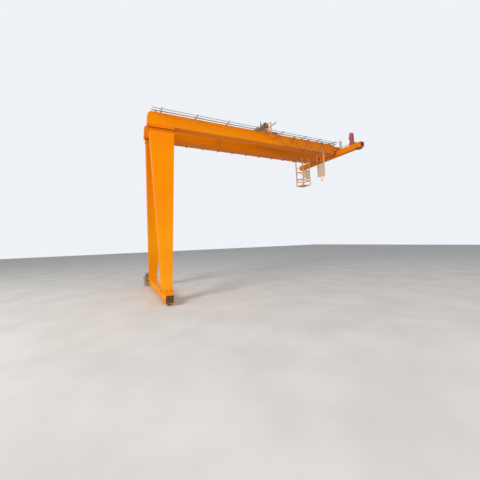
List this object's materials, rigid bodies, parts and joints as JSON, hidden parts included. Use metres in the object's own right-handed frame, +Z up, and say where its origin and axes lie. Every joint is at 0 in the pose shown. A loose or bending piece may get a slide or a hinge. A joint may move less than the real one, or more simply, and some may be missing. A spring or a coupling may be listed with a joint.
{
  "type": "double-girder semi-gantry crane",
  "caption": "Semi-gantry crane with two box girders, leaning legs on a ground carriage, an upper runway carriage, a crab with hook block and a festoon cable.",
  "frame": {"origin": "centre of the ground carriage's flat underside, midway between its wheels", "axes": "+X along the span from the legs to the runway, +Y along the rails, +Z up"},
  "size_m": [13.106, 6.22, 10.0099],
  "materials": {
    "crane_orange": "gloss enamel over welded plate, scuffed and dusty low down",
    "service_orange": "faded orange enamel on square tube",
    "rail_steel": "rolled steel with a worn running face",
    "wheel_iron": "dark greasy casting with a bright tread",
    "gearbox_yellow": "yellow enamel with oil stains",
    "motor_blue": "blue-grey enamel on a ribbed housing",
    "motor_red": "red-brown enamel on a ribbed housing",
    "crab_maroon": "dark maroon primer and dust",
    "hoist_grey": "light grey enamel",
    "galvanised": "dull zinc with grey-brown dust",
    "cable_rubber": "round rubber cable with brown dust",
    "buffer_rubber": "cellular rubber",
    "carrier_yellow": "yellow enamel, chipped",
    "hook_steel": "forged black steel, bright in the bowl",
    "rope_steel": "greased laid wire rope",
    "pale_sheet": "pale translucent sheet, dusty"
  },
  "bodies": {
    "root": {"near_girder": "crane_orange", "far_girder": "crane_orange", "leg_end_tie": "crane_orange", "near_leg": "crane_orange", "far_leg": "crane_orange", "ground_carriage": "crane_orange", "runway_carriage": "crane_orange", "crab_rails": "rail_steel", "girder_splice": "crane_orange", "ground_gearbox": "gearbox_yellow", "ground_motor": "motor_blue", "runway_gearbox": "motor_red", "runway_motor": "motor_red", "drive_cable_pipe": "service_orange", "ground_buffers": "buffer_rubber", "runway_buffers": "buffer_rubber", "festoon_arms": "galvanised", "festoon_track": "galvanised", "cable_conduit": "galvanised", "festoon_end_clamp": "galvanised", "cable_loop_4": "cable_rubber", "service_ladder": "service_orange", "cage_frame": "service_orange", "guard_panels": "pale_sheet", "collector_frame": "service_orange", "walkway": "crane_orange", "walkway_railing": "service_orange"},
    "crab": {"crab_frame": "crab_maroon", "crab_wheels": "wheel_iron", "hoist_drum": "rail_steel", "hoist_gearbox": "hoist_grey", "hoist_motor": "hoist_grey", "tow_arm": "service_orange", "hoist_ropes": "rope_steel", "cable_lead": "cable_rubber"},
    "hook_block": {"hook_block": "carrier_yellow", "hook": "hook_steel"},
    "lead_carrier": {"lead_carrier": "carrier_yellow"},
    "carrier_1": {"cable_carrier_1": "galvanised", "cable_loop_1": "cable_rubber"},
    "carrier_2": {"cable_carrier_2": "galvanised", "cable_loop_2": "cable_rubber"},
    "carrier_3": {"cable_carrier_3": "galvanised", "cable_loop_3": "cable_rubber"},
    "ground_wheel_near": {"ground_wheel_near": "wheel_iron"},
    "ground_wheel_far": {"ground_wheel_far": "wheel_iron"},
    "runway_wheel_near": {"runway_wheel_near": "wheel_iron"},
    "runway_wheel_far": {"runway_wheel_far": "wheel_iron"}
  },
  "joints": [
    {"name": "crab_travel", "type": "slide", "parent": "root", "child": "crab", "axis": [1, 0, 0], "range_m": [-4.4, 3.9], "deforming": ["cable_loop_1", "cable_loop_2", "cable_loop_3", "cable_loop_4"]},
    {"name": "hoist", "type": "slide", "parent": "crab", "child": "hook_block", "axis": [0, 0, -1], "range_m": [0, 7.6], "deforming": ["hoist_ropes"]},
    {"name": "carrier_3_travel", "type": "slide", "parent": "root", "child": "carrier_3", "axis": [1, 0, 0], "range_m": [-1.11, 0.985]},
    {"name": "carrier_2_travel", "type": "slide", "parent": "carrier_3", "child": "carrier_2", "axis": [1, 0, 0], "range_m": [-1.11, 0.985]},
    {"name": "carrier_1_travel", "type": "slide", "parent": "carrier_2", "child": "carrier_1", "axis": [1, 0, 0], "range_m": [-1.11, 0.985]},
    {"name": "lead_carrier_travel", "type": "slide", "parent": "carrier_1", "child": "lead_carrier", "axis": [1, 0, 0], "range_m": [-1.11, 0.985]},
    {"name": "ground_wheel_near_spin", "type": "hinge", "parent": "root", "child": "ground_wheel_near", "pos_m": [0, -2.7, 0.0675], "axis": [1, 0, 0], "continuous": true},
    {"name": "ground_wheel_far_spin", "type": "hinge", "parent": "root", "child": "ground_wheel_far", "pos_m": [0, 2.7, 0.0675], "axis": [1, 0, 0], "continuous": true},
    {"name": "runway_wheel_near_spin", "type": "hinge", "parent": "root", "child": "runway_wheel_near", "pos_m": [12.15, -2.7, 8.2275], "axis": [1, 0, 0], "continuous": true},
    {"name": "runway_wheel_far_spin", "type": "hinge", "parent": "root", "child": "runway_wheel_far", "pos_m": [12.15, 2.7, 8.2275], "axis": [1, 0, 0], "continuous": true}
  ],
  "couplings": [
    {"joint": "carrier_3_travel", "follows": "crab_travel", "ratio": 0.25},
    {"joint": "carrier_2_travel", "follows": "crab_travel", "ratio": 0.25},
    {"joint": "carrier_1_travel", "follows": "crab_travel", "ratio": 0.25},
    {"joint": "lead_carrier_travel", "follows": "crab_travel", "ratio": 0.25}
  ]
}
